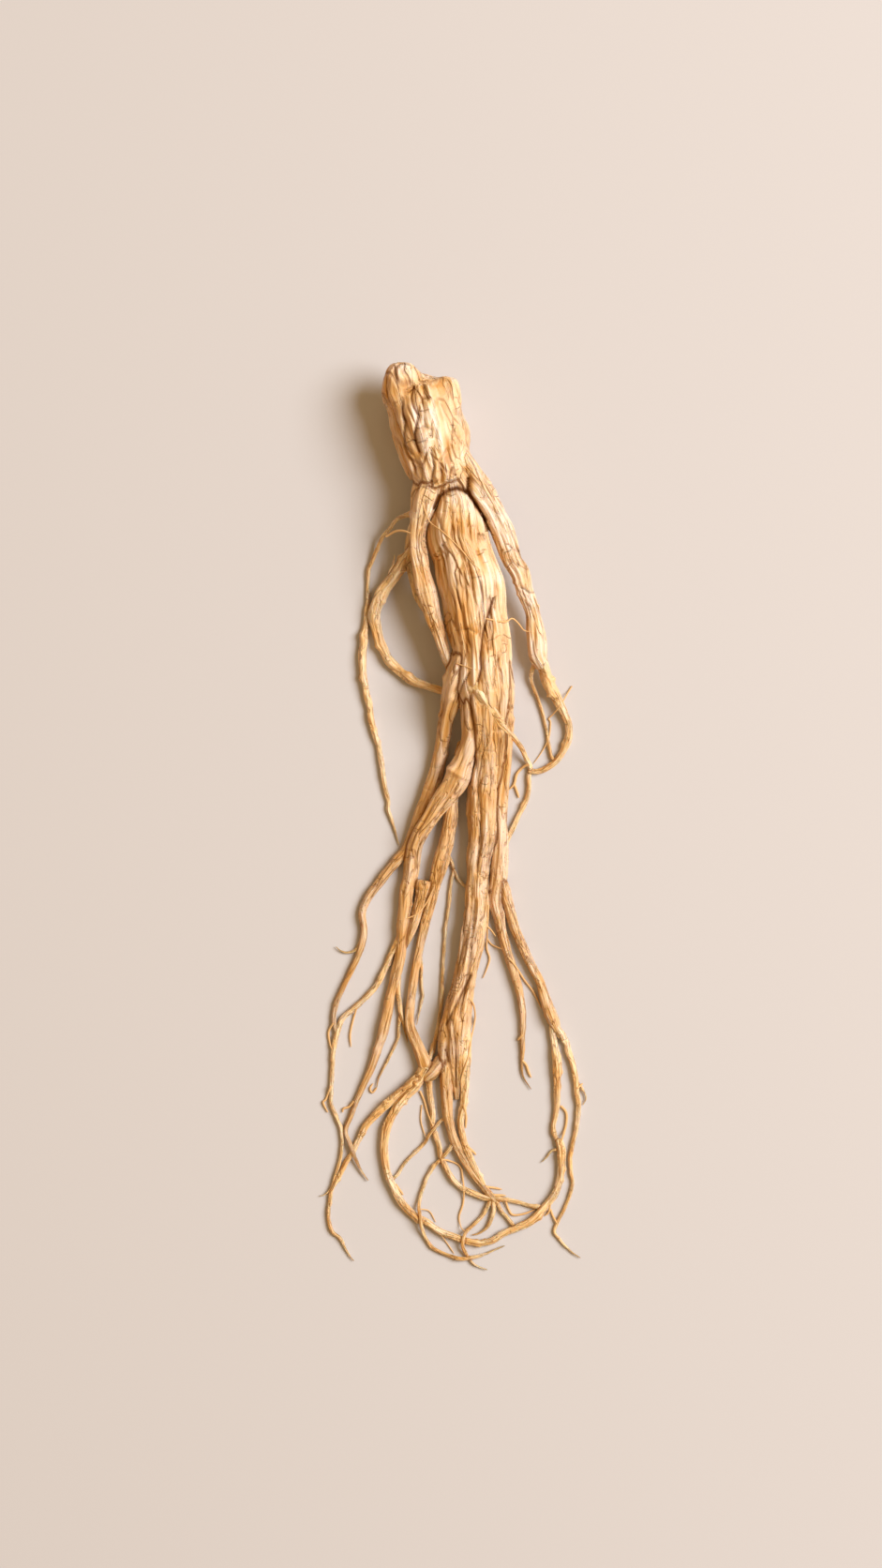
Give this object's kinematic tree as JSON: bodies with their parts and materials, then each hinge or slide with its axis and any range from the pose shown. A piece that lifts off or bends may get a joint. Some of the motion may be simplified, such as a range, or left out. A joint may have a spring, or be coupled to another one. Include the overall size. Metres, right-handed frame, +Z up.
{
  "type": "ginseng root",
  "caption": "Fresh ginseng root lying on its back: lobed crown, stout wrinkled trunk, two arms, several legs and a trailing fringe of rootlets.",
  "frame": {"origin": "under the middle of the root's box, on the surface that it lies on", "axes": "+Y from the rootlets towards the crown, +X to the picture's right, +Z up out of the side that faces the picture's viewer"},
  "size_m": [0.0856, 0.2906, 0.0228],
  "materials": {
    "root_skin": "fresh ginseng skin: pale golden tan, slightly waxy, with long fissures, ring creases and small brown specks"
  },
  "bodies": {
    "root": {"ginseng_root": "root_skin"}
  },
  "joints": []
}
